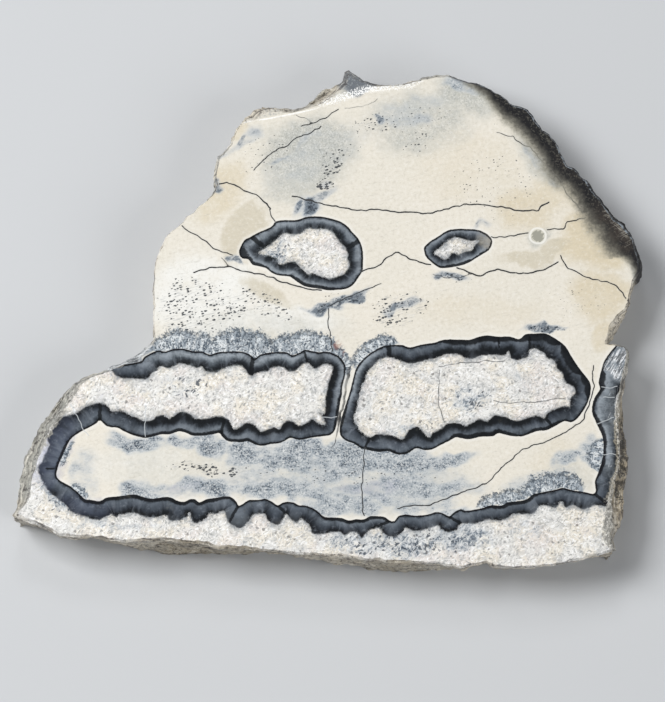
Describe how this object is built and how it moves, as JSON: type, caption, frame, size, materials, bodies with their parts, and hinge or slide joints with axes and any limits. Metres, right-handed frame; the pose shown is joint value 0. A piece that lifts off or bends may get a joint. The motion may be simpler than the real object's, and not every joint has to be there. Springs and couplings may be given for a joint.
{
  "type": "columbian mammoth tooth slice",
  "caption": "Flat polished slice of a fossil mammoth molar with dark looping enamel bands, cream dentine and a broken rim, lying on its sawn back.",
  "frame": {"origin": "middle of the slice's box in plan, at the flat sawn back", "axes": "+X along the long lower edge, to the right when the polished face is looked at; +Y towards the rounded crest; +Z out of the polished face"},
  "size_m": [0.101, 0.0836, 0.009],
  "materials": {
    "polished_tooth": "polished face, broken rim, sawn back"
  },
  "bodies": {
    "root": {"tooth_slice": "polished_tooth"}
  },
  "joints": []
}
